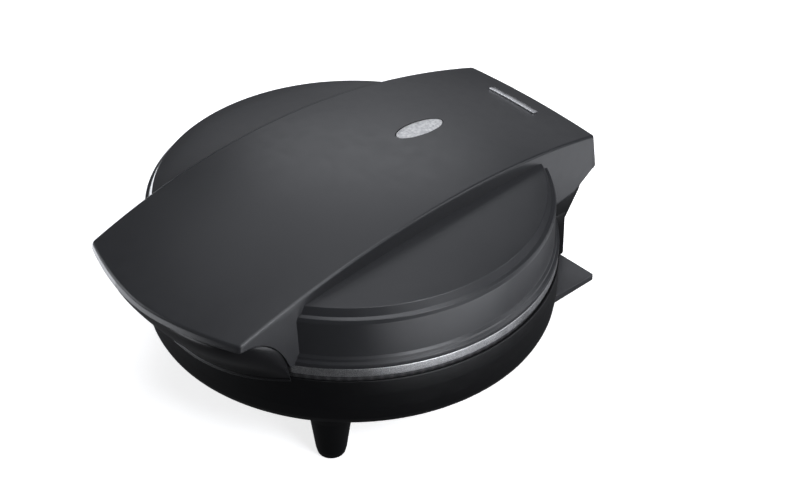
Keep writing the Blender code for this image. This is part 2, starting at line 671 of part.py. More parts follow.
def build_lid(frame, lid, base, coated, steel, bright, ceramic, lens, red, green):
    lid_shell(lid, frame)
    lid_band(lid, frame)
    handle_liner(base, frame)
    lamps(base, lens, red, green, frame)
    trim_strip(bright, frame)

    face = PLATE_SPLIT + PLATE_GAP / 2.0
    posts = [(0.0, MOULD_PITCH), (0.0, -MOULD_PITCH)]
    top = LID_BOTTOM - GAP
    flange = [(0.0, face), (0.1001, face), (0.1001, top), (0.0950, top), (0.0946, 0.0655), (0.0915, 0.0655),
              (0.0905, top), (0.0, top)]
    cast_plate("upper_plate", face, 1.0, flange, posts, coated, frame)
    back = face + POD_DEPTH
    heater("upper_heater", back + GAP + HEATER_BAR, steel, frame)
    reflector("upper_reflector", UPPER_REFLECTOR, posts, bright, frame)
    for k, centre in enumerate(posts, 1):
        spacer(f"upper_spacer_{k}", centre, back + GAP, UPPER_REFLECTOR - GAP, steel, frame)
        screw(f"upper_screw_{k}", centre, 0.0977, 0.0640, steel, frame)
    for k, centre in enumerate(band_bosses(), 1):
        screw(f"band_screw_{k}", centre, 0.0953, 0.1018, steel, frame, 0.0014)
    fuse("upper_fuse", 0.022, back + 0.0024, ceramic, frame)


def main():
    clear_scene()
    lid = material("lid_plastic", (0.055, 0.057, 0.062), 0.42)
    base = material("base_plastic", (0.012, 0.012, 0.014), 0.40)
    rubber = material("gland_rubber", (0.020, 0.020, 0.020), 0.70)
    coated = material("coated_plate", (0.160, 0.160, 0.165), 0.45, 0.6)
    steel = material("steel", (0.500, 0.500, 0.500), 0.30, 1.0)
    bright = material("bright_sheet", (0.700, 0.700, 0.720), 0.25, 1.0)
    ceramic = material("ceramic", (0.750, 0.720, 0.660), 0.60)
    wire = material("lead_sleeve", (0.600, 0.580, 0.520), 0.70)
    lens = material("lamp_lens", (0.700, 0.700, 0.700), 0.35)
    red = material("red_lamp", (0.500, 0.030, 0.020), 0.30)
    green = material("green_lamp", (0.030, 0.350, 0.060), 0.30)
    base_frame = add_frame("base_frame", (0.0, 0.0, 0.0))
    lid_hinge = add_frame("lid_hinge", (0.0, HINGE_Y, HINGE_Z))
    lid_hinge.parent = base_frame
    bpy.context.view_layer.update()
    build_base(base_frame, base, rubber, coated, steel, bright, ceramic, wire)
    build_lid(lid_hinge, lid, base, coated, steel, bright, ceramic, lens, red, green)


main()
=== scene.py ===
"""Looks of the donut maker: fine shells, plates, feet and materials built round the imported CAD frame."""

import json
import math

import bmesh
import bpy
from mathutils import Matrix, Vector


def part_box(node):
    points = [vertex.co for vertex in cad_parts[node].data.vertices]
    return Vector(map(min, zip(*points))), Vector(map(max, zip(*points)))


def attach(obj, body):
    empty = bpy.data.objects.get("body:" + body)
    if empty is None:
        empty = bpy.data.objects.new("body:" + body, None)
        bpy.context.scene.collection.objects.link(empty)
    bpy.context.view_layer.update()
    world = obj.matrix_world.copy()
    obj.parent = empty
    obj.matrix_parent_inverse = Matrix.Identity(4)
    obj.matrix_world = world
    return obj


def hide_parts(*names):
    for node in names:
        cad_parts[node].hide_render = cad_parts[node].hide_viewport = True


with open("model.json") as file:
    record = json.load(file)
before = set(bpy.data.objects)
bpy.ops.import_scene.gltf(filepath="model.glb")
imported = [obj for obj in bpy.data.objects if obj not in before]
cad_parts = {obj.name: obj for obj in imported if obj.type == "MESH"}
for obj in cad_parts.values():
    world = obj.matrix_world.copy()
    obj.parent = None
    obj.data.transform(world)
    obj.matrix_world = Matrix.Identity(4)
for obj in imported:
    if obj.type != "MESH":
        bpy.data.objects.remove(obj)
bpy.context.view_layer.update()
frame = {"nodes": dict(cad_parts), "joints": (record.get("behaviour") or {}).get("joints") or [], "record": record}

NODES = frame["nodes"]
HINGE = frame["joints"][0]["pos_m"]

# Sizes in metres. Those that the frame holds are read from it.
BASE_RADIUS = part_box("base_shell")[1].x
BASE_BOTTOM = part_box("base_shell")[0].z
BASE_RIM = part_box("base_shell")[1].z
LID_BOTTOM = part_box("lid_shell")[0].z
LID_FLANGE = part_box("lid_shell")[1].x
DRUM_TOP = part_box("lid_shell")[1].z
LOWER_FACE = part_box("lower_plate")[1].z
UPPER_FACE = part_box("upper_plate")[0].z

BAND_SPAN = 0.120             # length that the arch formulas are scaled by
BAND_HALF_WIDTH = 0.0536      # at the middle; the next two narrow it towards the back and both ends
BAND_TAPER = 0.0048
BAND_WAIST = 0.0050
BAND_TOP = 0.1059             # height of the band's edge at the middle; it rises, then falls with the arch
BAND_RISE = 0.0013
BAND_ARCH = 0.0186
BAND_CROWN = 0.0030           # height of the middle over the edges, lower towards the back
BAND_CROWN_FALL = 0.0012
BAND_FRONT = 0.1129           # front corners of the band
BAND_BOW = 0.0129             # how far the front edge bows out between them
BOW_POWER = 1.8
BAND_BACK = 0.1232
BAND_WALL = 0.0026
BAND_FILLET = 0.0012
BAND_CORNER = 0.0018
SIDE_LEAN = 0.04
LIP_LEAN = 0.13
HOOD_LEAN = 0.098
EDGE_RADIUS = 0.0006          # rounding of the walls' lower edge, at the sides and at the back
HOOD_EDGE_RADIUS = 0.0018
WALL_LEVELS = (0.06, 0.16, 0.28, 0.41, 0.54, 0.66, 0.76, 0.84, 0.90, 0.93, 0.955, 0.975, 0.99, 1.0)
HOOD_BOTTOM = 0.0628
HOOD_RISE = 0.38              # slope of the hood's lower edge behind HOOD_TURN
HOOD_TURN = 0.106
HOOD_START = 0.0785
FIN_END = 0.0765

LID_RADIUS = 0.0981
TOP_RADIUS = 0.0939
TOP_EDGE = 0.0931
TOP_DOME = DRUM_TOP - TOP_EDGE

LIP_BOTTOM = 0.0846
SPLIT_START = 0.1080          # the handle splits between lid and base along a curve that starts here
SPLIT_REACH = 0.0235
SPLIT_FLOOR = 0.0500
CHIN_HALF_WIDTH = 0.0542
CHIN_FRONT = 0.1212
CHIN_GAP = 0.0018
LINER_HALF_WIDTH = 0.0500
LINER_FRONT = 0.1092
LINER_BOW = 0.0127
LINER_BACK_RADIUS = 0.1010
LINER_WALL = 0.0015

LAMP_Y = 0.045
LAMP_HALF = (0.0054, 0.0146)
TRIM_Y = 0.1095
TRIM_SIZE = (0.0310, 0.0036, 0.0010)

LOWER_PLATE_RADIUS = 0.0989
UPPER_PLATE_RADIUS = 0.1001
BARE_METAL = (0.09885, 0.0992)   # radii between which the plates' coat gives way to bare metal
MOULD_PITCH = 0.059
MOULD_RADIUS = 0.0175
POD_RADIUS = 0.029
POD_DEPTH = 0.0118

HINGE_BLOCK_FRONT = 0.0905
HINGE_BLOCK_BACK = 0.1085
EAR_SPAN = (0.0240, 0.0395)
LUG_SPAN = (0.0140, 0.0235)
CORD_HEIGHT = 0.040

ROUND_STEPS = 160             # facets of the drum and the base
SMALL_STEPS = 56              # facets of feet, pods and ring moulds


# Materials.

def shader_nodes(name):
    made = bpy.data.materials.new(name)
    made.use_nodes = True
    tree = made.node_tree
    return made, tree, tree.nodes["Principled BSDF"]


def add_node(tree, kind, **values):
    node = tree.nodes.new(kind)
    for key, value in values.items():
        if key in node.inputs:
            node.inputs[key].default_value = value
        else:
            setattr(node, key, value)
    return node


def noise(tree, scale, detail=2.0, stretch=None):
    """Noise in object space, with scale in features to the metre."""
    place = tree.nodes.new("ShaderNodeTexCoord")
    texture = add_node(tree, "ShaderNodeTexNoise", Scale=scale, Detail=detail)
    source = place.outputs["Object"]
    if stretch:
        mapping = add_node(tree, "ShaderNodeMapping")
        mapping.inputs["Scale"].default_value = stretch
        tree.links.new(source, mapping.inputs["Vector"])
        source = mapping.outputs["Vector"]
    tree.links.new(source, texture.inputs["Vector"])
    return texture.outputs["Fac"]


def remap(tree, value, low, high, start=0.3, end=0.7):
    """Takes value from start..end to low..high, and holds it there outside."""
    node = add_node(tree, "ShaderNodeMapRange")
    node.inputs["From Min"].default_value = start
    node.inputs["From Max"].default_value = end
    node.inputs["To Min"].default_value = low
    node.inputs["To Max"].default_value = high
    tree.links.new(value, node.inputs["Value"])
    return node.outputs["Result"]


def tint(tree, value, dark, light):
    """Colour between dark and light as value goes from 0 to 1."""
    mix = tree.nodes.new("ShaderNodeMix")
    mix.data_type = "RGBA"
    mix.inputs["A"].default_value = (*dark, 1.0)
    mix.inputs["B"].default_value = (*light, 1.0)
    tree.links.new(value, mix.inputs["Factor"])
    return mix.outputs["Result"]


def bump(tree, shader, height, strength, distance):
    node = add_node(tree, "ShaderNodeBump", Strength=strength, Distance=distance)
    tree.links.new(height, node.inputs["Height"])
    tree.links.new(node.outputs["Normal"], shader.inputs["Normal"])


def moulded_plastic(name, dark, light, rough, specular, grain=2600.0, depth=0.00003):
    """Moulded plastic with a fine spark-eroded grain and faint clouding."""
    made, tree, shader = shader_nodes(name)
    cloud = remap(tree, noise(tree, 22.0, 3.0), 0.0, 1.0)
    tree.links.new(tint(tree, cloud, dark, light), shader.inputs["Base Color"])
    tree.links.new(remap(tree, noise(tree, 180.0, 3.0), *rough), shader.inputs["Roughness"])
    bump(tree, shader, noise(tree, grain, 2.0), 0.35, depth)
    shader.inputs["Specular IOR Level"].default_value = specular
    return made


def coated_metal(name):
    """Cast plate: dark non-stick coat with a fine orange peel, bare bright metal on the turned edge."""
    made, tree, shader = shader_nodes(name)
    place = tree.nodes.new("ShaderNodeTexCoord")
    length = add_node(tree, "ShaderNodeVectorMath", operation="LENGTH")
    flat = add_node(tree, "ShaderNodeVectorMath", operation="MULTIPLY")
    flat.inputs[1].default_value = (1.0, 1.0, 0.0)
    tree.links.new(place.outputs["Object"], flat.inputs[0])
    tree.links.new(flat.outputs["Vector"], length.inputs[0])
    edge = remap(tree, length.outputs["Value"], 0.0, 1.0, *BARE_METAL)
    pits = remap(tree, noise(tree, 2300.0, 2.0), 0.0, 1.0, 0.38, 0.66)
    bare = tint(tree, pits, (0.36, 0.36, 0.37), (0.66, 0.66, 0.66))
    cloud = remap(tree, noise(tree, 40.0, 3.0), 0.0, 1.0)
    coat = tint(tree, cloud, (0.009, 0.009, 0.010), (0.014, 0.014, 0.015))
    mix = tree.nodes.new("ShaderNodeMix")
    mix.data_type = "RGBA"
    tree.links.new(edge, mix.inputs["Factor"])
    tree.links.new(coat, mix.inputs["A"])
    tree.links.new(bare, mix.inputs["B"])
    tree.links.new(mix.outputs["Result"], shader.inputs["Base Color"])
    tree.links.new(edge, shader.inputs["Metallic"])
    tree.links.new(remap(tree, noise(tree, 300.0, 2.0), 0.30, 0.42), shader.inputs["Roughness"])
    bump(tree, shader, noise(tree, 1500.0, 2.0), 0.4, 0.00006)
    return made


def plain_metal(name, dark, light, rough):
    """Metal with a drawn or brushed grain."""
    made, tree, shader = shader_nodes(name)
    grain = noise(tree, 260.0, 3.0, stretch=(1.0, 1.0, 14.0))
    tree.links.new(tint(tree, remap(tree, grain, 0.0, 1.0), dark, light), shader.inputs["Base Color"])
    tree.links.new(remap(tree, grain, rough * 0.8, rough * 1.25), shader.inputs["Roughness"])
    shader.inputs["Metallic"].default_value = 1.0
    bump(tree, shader, grain, 0.15, 0.00004)
    return made


def frosted_lens(name):
    """Clear plastic window with a hammered, light-scattering underside."""
    made, tree, shader = shader_nodes(name)
    place = tree.nodes.new("ShaderNodeTexCoord")
    cells = add_node(tree, "ShaderNodeTexVoronoi", Scale=620.0)
    tree.links.new(place.outputs["Object"], cells.inputs["Vector"])
    shade = remap(tree, cells.outputs["Distance"], 0.0, 1.0, 0.1, 0.8)
    tree.links.new(tint(tree, shade, (0.78, 0.78, 0.77), (0.48, 0.48, 0.49)), shader.inputs["Base Color"])
    tree.links.new(remap(tree, noise(tree, 500.0), 0.25, 0.45), shader.inputs["Roughness"])
    shader.inputs["Transmission Weight"].default_value = 0.15
    bump(tree, shader, cells.outputs["Distance"], 0.5, 0.0003)
    return made


def mineral(name, dark, light, rough, scale):
    """Speckled matt material, for ceramic, rubber, glass sleeve and lamp caps."""
    made, tree, shader = shader_nodes(name)
    speckle = remap(tree, noise(tree, scale, 4.0), 0.0, 1.0)
    tree.links.new(tint(tree, speckle, dark, light), shader.inputs["Base Color"])
    mottle = noise(tree, scale * 3.0)
    tree.links.new(remap(tree, mottle, rough - 0.06, rough + 0.06), shader.inputs["Roughness"])
    bump(tree, shader, noise(tree, scale * 6.0), 0.3, 0.00005)
    return made


# Mesh helpers.

def solid_object(name, bm):
    bmesh.ops.recalc_face_normals(bm, faces=bm.faces)
    mesh = bpy.data.meshes.new(name)
    bm.to_mesh(mesh)
    bm.free()
    made = bpy.data.objects.new(name, mesh)
    bpy.context.scene.collection.objects.link(made)
    return made


def dress(piece, look, body, slot, *nodes, sharp=35.0):
    """Gives a piece its material and shading, and puts it on its body in place of the CAD nodes."""
    piece.data.materials.clear()
    piece.data.materials.append(look)
    piece.data.shade_smooth()
    piece.data.set_sharp_from_angle(angle=math.radians(sharp))
    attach(piece, body)
    if nodes:
        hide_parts(*nodes)


def finish(name, bm, look, body, slot, *nodes, sharp=35.0):
    dress(solid_object(name, bm), look, body, slot, *nodes, sharp=sharp)


def combine(target, tool, operation):
    """Applies a Boolean at once and removes the tool."""
    step = target.modifiers.new("combine", "BOOLEAN")
    step.operation = operation
    step.object = tool
    step.solver = "EXACT"
    seen = bpy.context.evaluated_depsgraph_get()
    result = bpy.data.meshes.new_from_object(target.evaluated_get(seen))
    target.modifiers.clear()
    target.data = result
    bpy.data.objects.remove(tool)


def plan_centre(low, high):
    return (low.x + high.x) / 2.0, (low.y + high.y) / 2.0


def rounded(points, segments=5):
    """Profile of (radius, height, fillet) corners with each fillet drawn as an arc."""
    out = []
    last = len(points) - 1
    for k, (r, z, fillet) in enumerate(points):
        here = Vector((r, z))
        if not fillet or k in (0, last):
            out.append((r, z))
            continue
        before = Vector(points[k - 1][:2]) - here
        after = Vector(points[k + 1][:2]) - here
        half = before.angle(after) / 2.0
        reach = min(fillet / math.tan(half), 0.49 * before.length, 0.49 * after.length)
        first, second = here + before.normalized() * reach, here + after.normalized() * reach
        for n in range(segments + 1):
            t = n / segments
            p = first.lerp(here, t).lerp(here.lerp(second, t), t)
            out.append((p.x, p.y))
    return out


def turned(profile, steps=ROUND_STEPS, centre=(0.0, 0.0), bm=None):
    """Body turned about Z from points that end on the axis or close on themselves."""
    bm = bm or bmesh.new()
    on_axis = 1e-6
    cx, cy = centre
    rings = []
    for radius, height in profile:
        count = steps if radius > on_axis else 1
        turns = [2.0 * math.pi * k / steps for k in range(count)]
        circle = [(cx + radius * math.cos(a), cy + radius * math.sin(a)) for a in turns]
        rings.append([bm.verts.new((x, y, height)) for x, y in circle])
    pairs = list(zip(rings, rings[1:]))
    if profile[0][0] > on_axis:
        pairs.append((rings[-1], rings[0]))
    for lower, upper in pairs:
        for k in range(steps):
            n = (k + 1) % steps
            corners = (lower[k % len(lower)], lower[n % len(lower)],
                       upper[n % len(upper)], upper[k % len(upper)])
            corners = list(dict.fromkeys(corners))
            if len(corners) > 2:
                bm.faces.new(corners)
    return bm


def ring_faces(bm, first, second):
    count = len(first)
    for k in range(count):
        n = (k + 1) % count
        bm.faces.new((first[k], first[n], second[n], second[k]))


def arc(cx, cy, radius, start, stop, count):
    turns = [math.radians(start + (stop - start) * k / count) for k in range(count + 1)]
    return [(cx + radius * math.cos(a), cy + radius * math.sin(a)) for a in turns]


def bevelled_prism(outline, low, high, bevel, segments=3):
    bm = bmesh.new()
    bottom = [bm.verts.new((x, y, low)) for x, y in outline]
    top = [bm.verts.new((x, y, high)) for x, y in outline]
    bm.faces.new(bottom)
    bm.faces.new(top)
    ring_faces(bm, bottom, top)
    bmesh.ops.recalc_face_normals(bm, faces=bm.faces)
    flat = [e for e in bm.edges if abs(e.verts[0].co.z - e.verts[1].co.z) < 1e-9]
    bmesh.ops.bevel(bm, geom=flat, offset=bevel, segments=segments, affect="EDGES", profile=0.5)
    return bm


def sideways_prism(outline, low, high, bevel):
    """Bevelled solid between two planes across X, from a side view in (y, z)."""
    bm = bevelled_prism(outline, low, high, bevel)
    turn = Matrix(((0, 0, 1, 0), (1, 0, 0, 0), (0, 1, 0, 0), (0, 0, 0, 1)))
    bmesh.ops.transform(bm, verts=bm.verts, matrix=turn)
    return bm


def turn_to_y(bm, start):
    """Lays a body turned about Z along Y at the cord's height, from start on."""
    place = Matrix.Translation((0.0, start, CORD_HEIGHT)) @ Matrix.Rotation(math.radians(-90), 4, "X")
    bmesh.ops.transform(bm, verts=bm.verts, matrix=place)
    return bm


def mirrored(span):
    """A span on the +X side, then the same one on the -X side."""
    return span, (-span[1], -span[0])


# The band's surface and outline.

def band_half_width(y):
    t = y / BAND_SPAN
    return BAND_HALF_WIDTH - BAND_TAPER * t - BAND_WAIST * t * t


def band_height(x, y):
    t = y / BAND_SPAN
    edge = BAND_TOP + BAND_RISE * t - BAND_ARCH * t * t
    crown = BAND_CROWN - BAND_CROWN_FALL * t
    return edge + crown * (1.0 - min(abs(x) / band_half_width(y), 1.0) ** 2)


def handle_split(y):
    """Height of the line where the handle's lid half meets its base half."""
    back = max(0.0, min(1.0, (y + SPLIT_START) / SPLIT_REACH))
    return SPLIT_FLOOR + (LIP_BOTTOM - SPLIT_FLOOR) * math.sqrt(1.0 - back * back)


def dome_height(radius):
    return TOP_EDGE + TOP_DOME * (1.0 - (radius / TOP_RADIUS) ** 2)


def band_lower_edge(x, y):
    """Foot of the band's wall: the handle's split in front, just inside the drum's top, then the hood."""
    if y < -FIN_END:
        return max(handle_split(y), LID_BOTTOM)
    if y < HOOD_START:
        return dome_height(min(math.hypot(x, y), TOP_RADIUS)) - 0.0012
    return HOOD_BOTTOM + HOOD_RISE * max(0.0, y - HOOD_TURN)


def spaced(stops):
    """Values between stops (value, step that follows it)."""
    out = []
    for (low, step), (high, _) in zip(stops, stops[1:]):
        count = max(1, round((high - low) / step))
        out += [low + (high - low) * k / count for k in range(count)]
    return out + [stops[-1][0]]


def round_corner(sides, one, i, two, j):
    """Rounds the corner where two sides meet, by moving the points that lie close to it."""
    tip = sides[one][i].copy()
    lines = [sides[name] if index == 0 else sides[name][::-1] for name, index in ((one, i), (two, j))]
    counts = [sum((p - tip).length < BAND_CORNER for p in line) for line in lines]
    start, stop = [tip + (line[count] - tip).normalized() * BAND_CORNER for line, count in zip(lines, counts)]
    for line, count, way in zip(lines, counts, (-1.0, 1.0)):
        for k in range(count):
            t = 0.5 + way * 0.5 * k / count
            line[k] = start.lerp(tip, t).lerp(tip.lerp(stop, t), t)
    sides[one] = lines[0] if i == 0 else lines[0][::-1]
    sides[two] = lines[1] if j == 0 else lines[1][::-1]


def band_outline():
    """Four sides of the band's plan, each from corner to corner, with the corners rounded."""
    across = spaced([(-1.0, 0.005), (-0.96, 0.045), (0.96, 0.005), (1.0, 1.0)])
    low, high = -BAND_FRONT, BAND_BACK
    ys = spaced([(low, 0.0003), (low + 0.0021, 0.0010), (-0.084, 0.0005), (-0.0755, 0.003), (0.077, 0.0005),
                 (0.080, 0.0015), (high - 0.0021, 0.0003), (high, 1.0)])

    def front(u):
        y = low - BAND_BOW * (1.0 - abs(u) ** BOW_POWER)
        return Vector((u * band_half_width(y), y))

    sides = {
        "front": [front(u) for u in across],
        "back": [Vector((u * band_half_width(high), high)) for u in across],
        "left": [Vector((-band_half_width(y), y)) for y in ys],
        "right": [Vector((band_half_width(y), y)) for y in ys],
    }
    for one, j in (("front", 0), ("back", -1)):
        round_corner(sides, one, 0, "left", j)
        round_corner(sides, one, -1, "right", j)
    return sides


def loop_of(sides):
    return sides["front"] + sides["right"][1:] + sides["back"][-2::-1] + sides["left"][-2:0:-1]


def outward_normals(loop):
    normals = []
    for k, p in enumerate(loop):
        along = loop[(k + 1) % len(loop)] - loop[k - 1]
        normals.append(Vector((along.y, -along.x)).normalized())
    return normals


def patch(bm, ring, across, along, height):
    """Fills a ring of corners with a grid of across by along cells; height gives Z from X and Y."""
    front = ring[:across + 1]
    right = ring[across:across + along + 1]
    back = ring[across + along:2 * across + along + 1][::-1]
    left = [ring[0]] + ring[2 * across + along:][::-1]
    grid = [front]
    for j in range(1, along):
        v = j / along
        row = [left[j]]
        for i in range(1, across):
            u = i / across
            edges = front[i].co * (1 - v) + back[i].co * v + left[j].co * (1 - u) + right[j].co * u
            corners = (front[0].co * (1 - u) + front[-1].co * u) * (1 - v)
            corners += (back[0].co * (1 - u) + back[-1].co * u) * v
            p = edges - corners
            row.append(bm.verts.new((p.x, p.y, height(p.x, p.y))))
        grid.append(row + [right[j]])
    grid.append(back)
    for first, second in zip(grid, grid[1:]):
        for i in range(across):
            bm.faces.new((first[i], first[i + 1], second[i + 1], second[i]))


# The lid.

def arc_inset(gap, radius):
    """How far a quarter-round of this radius stands off its tangent, at a gap from the corner."""
    return radius - math.sqrt(radius ** 2 - max(radius - gap, 0.0) ** 2)


def band_fillet(bm, loop, normals):
    """Rings of the band's rounded upper edge, from its top out to its walls."""
    rings = []
    for n in range(7):
        turn = math.radians(15.0 * n)
        inset, drop = BAND_FILLET * (1.0 - math.sin(turn)), BAND_FILLET * (1.0 - math.cos(turn))
        points = [p - out * inset for p, out in zip(loop, normals)]
        rings.append([bm.verts.new((q.x, q.y, band_height(q.x, q.y) - drop)) for q in points])
    return rings


def band_walls(bm, loop, normals, shoulders):
    """Rings down the walls' outside, which lean out as they fall and are rounded at their lower edge."""
    rings = []
    for level in WALL_LEVELS:
        ring = []
        for p, out, top in zip(loop, normals, shoulders):
            foot = band_lower_edge(p.x, p.y)
            z = top + (foot - top) * level
            rear = max(out.y, 0.0)
            lean = SIDE_LEAN * abs(out.x) + HOOD_LEAN * rear + LIP_LEAN * max(-out.y, 0.0)
            radius = EDGE_RADIUS + (HOOD_EDGE_RADIUS - EDGE_RADIUS) * rear
            q = p + out * lean * (top - z) - out * arc_inset(z - foot, radius)
            ring.append(bm.verts.new((q.x, q.y, z)))
        rings.append(ring)
    return rings


def band_inside(bm, loop, normals, feet):
    """Rings across the walls' lower edge and up their inside."""
    rings = []
    for inset, part in ((BAND_WALL * 0.8, 0.0), (BAND_WALL, 0.1), (BAND_WALL, 0.6), (BAND_WALL, 1.0)):
        ring = []
        for foot, p, out in zip(feet, loop, normals):
            roof = band_height(p.x, p.y) - BAND_WALL
            start = Vector((foot.x, foot.y)) - out * inset
            q = start.lerp(p - out * inset, part)
            ring.append(bm.verts.new((q.x, q.y, foot.z + max(roof - foot.z, 0.001) * part)))
        rings.append(ring)
    return rings


def lid_band(plastic):
    """Arched band: crowned top, filleted edge, walls that stand on the drum or hang down as fins and hood."""
    sides = band_outline()
    across, along = len(sides["front"]) - 1, len(sides["left"]) - 1
    loop = loop_of(sides)
    normals = outward_normals(loop)
    bm = bmesh.new()
    rings = band_fillet(bm, loop, normals)
    rings += band_walls(bm, loop, normals, [v.co.z for v in rings[-1]])
    rings += band_inside(bm, loop, normals, [v.co.copy() for v in rings[-1]])
    for first, second in zip(rings, rings[1:]):
        ring_faces(bm, first, second)
    patch(bm, rings[0], across, along, band_height)
    patch(bm, rings[-1], across, along, lambda x, y: band_height(x, y) - BAND_WALL)
    piece = solid_object("band_skin", bm)
    gap = 0.0004
    hole = turned([(0.0, 0.1010), (1.0, 0.1010), (1.0, 0.1100), (0.0, 0.1100)], 64)
    size = Matrix.Diagonal((LAMP_HALF[0] + gap, LAMP_HALF[1] + gap, 1, 1))
    bmesh.ops.transform(hole, verts=hole.verts, matrix=size)
    bmesh.ops.translate(hole, verts=hole.verts, vec=(0.0, LAMP_Y, 0.0))
    combine(piece, solid_object("lamp_hole", hole), "DIFFERENCE")
    dress(piece, plastic, "lid", "lid_plastic", "lid_band")


def drum(plastic):
    """Domed drum with a stepped shoulder and a small flange at its lower edge."""
    rings = 12
    radii = [TOP_RADIUS * k / rings for k in range(rings)]
    outside = [(r, dome_height(r), 0) for r in radii]
    outside += [(TOP_RADIUS, TOP_EDGE, 0.0005), (0.0957, 0.0894, 0.0003), (0.0974, 0.0886, 0.0007),
                (LID_RADIUS, 0.0868, 0.0012), (LID_RADIUS, 0.0690, 0.0005), (0.0991, 0.0677, 0.0004),
                (0.0992, 0.0665, 0.0003), (LID_FLANGE, 0.0655, 0.0004), (LID_FLANGE, LID_BOTTOM, 0.0003)]
    inside = [(0.0960, LID_BOTTOM, 0.0), (0.0956, 0.0850, 0.002), (0.0925, 0.0902, 0.001)]
    inside += [(r, dome_height(r) - 0.0024, 0) for r in (0.075, 0.050, 0.025, 0.0)]
    finish("drum_skin", turned(rounded(outside + inside)), plastic, "lid", "lid_plastic", "lid_shell",
           sharp=40.0)


def handle_liner(plastic):
    """Underside of the lid's handle: a thin curved sheet along the split."""
    top, bottom = [], []
    for v in [k / 24.0 for k in range(25)]:
        upper, lower = [], []
        for u in [k / 24.0 for k in range(-24, 25)]:
            x = u * LINER_HALF_WIDTH
            front = -LINER_FRONT - LINER_BOW * (1.0 - abs(u) ** BOW_POWER)
            back = -math.sqrt(LINER_BACK_RADIUS ** 2 - x * x)
            y = front + v * (back - front)
            upper.append((x, y, handle_split(y) + LINER_WALL))
            lower.append((x, y, handle_split(y)))
        top.append(upper)
        bottom.append(lower)
    finish("liner_skin", grid_shell(top, bottom), plastic, "lid", "base_plastic", "handle_liner")


def grid_shell(top, bottom):
    """Closed sheet between two grids of points with the same rows and columns."""
    bm = bmesh.new()
    rows, columns = len(top), len(top[0])
    upper = [[bm.verts.new(p) for p in row] for row in top]
    lower = [[bm.verts.new(p) for p in row] for row in bottom]
    for grid in (upper, lower):
        for i in range(rows - 1):
            for j in range(columns - 1):
                bm.faces.new((grid[i][j], grid[i][j + 1], grid[i + 1][j + 1], grid[i + 1][j]))
    border = [(0, j) for j in range(columns)] + [(i, columns - 1) for i in range(1, rows)]
    border += [(rows - 1, j) for j in range(columns - 2, -1, -1)] + [(i, 0) for i in range(rows - 2, 0, -1)]
    for (i, j), (k, m) in zip(border, border[1:] + border[:1]):
        bm.faces.new((upper[i][j], upper[k][m], lower[k][m], lower[i][j]))
    return bm


def tilt_onto_band(bm, y, lift):
    """Lays a flat body on the band's middle line, tilted as the arch is there."""
    step = 0.001
    rise = (band_height(0.0, y + step) - band_height(0.0, y - step)) / (2.0 * step)
    place = Matrix.Translation((0.0, y, band_height(0.0, y) + lift))
    place = place @ Matrix.Rotation(math.atan(rise), 4, "X")
    bmesh.ops.transform(bm, verts=bm.verts, matrix=place)
    return bm


def lamp_window(lens):
    edge, crown = -0.0002, 0.0011
    dome = [(0.0, -0.0016), (0.98, -0.0016), (1.0, -0.0014), (1.0, edge)]
    dome += [(math.cos(a), edge + crown * math.sin(a)) for a in [math.radians(10.0 * k) for k in range(1, 9)]]
    dome += [(0.0, edge + crown)]
    bm = turned(dome, 64)
    size = Matrix.Diagonal((LAMP_HALF[0], LAMP_HALF[1], 1.0, 1.0))
    bmesh.ops.transform(bm, verts=bm.verts, matrix=size)
    tilt_onto_band(bm, LAMP_Y, edge)
    finish("lamp_window", bm, lens, "lid", "lamp_lens", "lamp_lens", sharp=60.0)


def trim_strip(metal):
    """Blank bright bar that follows the band's crown."""
    bm = bmesh.new()
    bmesh.ops.create_cube(bm, size=1.0, matrix=Matrix.Diagonal((*TRIM_SIZE, 1.0)))
    long_edges = [e for e in bm.edges if abs(e.verts[0].co.x - e.verts[1].co.x) > 0.01]
    bmesh.ops.subdivide_edges(bm, edges=long_edges, cuts=20)
    corners = [e for e in bm.edges if e.calc_face_angle(0.0) > 0.5]
    bmesh.ops.bevel(bm, geom=corners, offset=0.00025, segments=3, affect="EDGES", profile=0.5)
    crown = band_height(0.0, TRIM_Y)
    for v in bm.verts:
        v.co.z -= crown - band_height(v.co.x, TRIM_Y)
    finish("trim_bar", tilt_onto_band(bm, TRIM_Y, 0.0005), metal, "lid", "trim", "trim_strip")


# The base.

def base_pan(plastic):
    """Round pan with a rounded lower edge and a step inside its rim for the plate."""
    outside = [(0.0, BASE_BOTTOM, 0), (0.0905, BASE_BOTTOM, 0.004), (0.0946, 0.0279, 0.003),
               (0.0976, 0.0294, 0.004), (0.0993, 0.0330, 0.006), (0.1002, 0.0390, 0.010),
               (BASE_RADIUS, 0.0480, 0.010), (BASE_RADIUS, BASE_RIM, 0.0010)]
    inside = [(0.0993, BASE_RIM, 0.0004), (0.0993, 0.0540, 0), (0.0966, 0.0540, 0), (0.0960, 0.0370, 0.002),
              (0.0925, 0.0309, 0.002), (0.0890, 0.0299, 0.002), (0.0, 0.0299, 0)]
    finish("base_skin", turned(rounded(outside + inside)), plastic, "base", "base_plastic", "base_shell",
           sharp=50.0)


